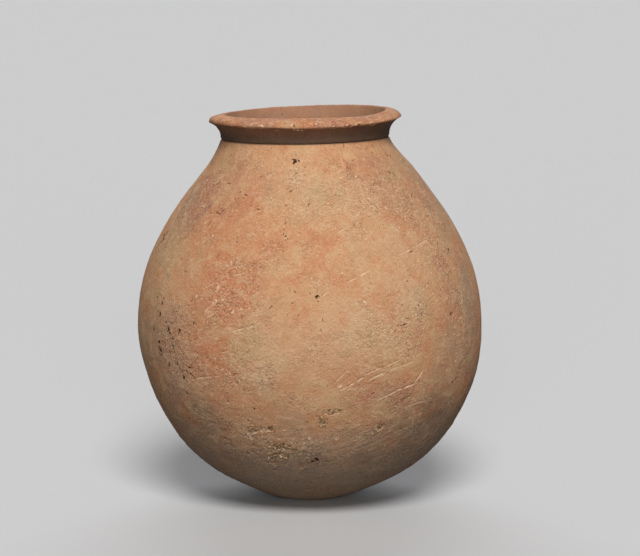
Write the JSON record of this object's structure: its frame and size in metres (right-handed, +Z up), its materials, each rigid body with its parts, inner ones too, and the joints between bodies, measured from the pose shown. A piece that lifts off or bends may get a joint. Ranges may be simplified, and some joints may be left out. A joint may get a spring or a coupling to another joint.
{
  "type": "globular water jar",
  "caption": "Large round hand-built jar of unglazed fired clay with a short neck and a thick everted rim, for storing and cooling water.",
  "frame": {"origin": "middle of the small worn flat under the jar, on the surface it stands on, below the middle of the belly", "axes": "+Z up along the body's axis, -Y towards the side usually shown, +X to that viewer's right, where the leaning rim is highest"},
  "size_m": [0.3511, 0.351, 0.3976],
  "materials": {
    "body_clay": "matte",
    "rim_clay": "matte",
    "seal_clay": "matte"
  },
  "bodies": {
    "root": {"base_bowl": "body_clay", "lower_wall_course": "body_clay", "lower_belly_course": "body_clay", "upper_belly_course": "body_clay", "lower_shoulder_course": "body_clay", "upper_shoulder_course": "body_clay", "neck_seal_coil": "seal_clay", "rim_ring": "rim_clay"}
  },
  "joints": []
}
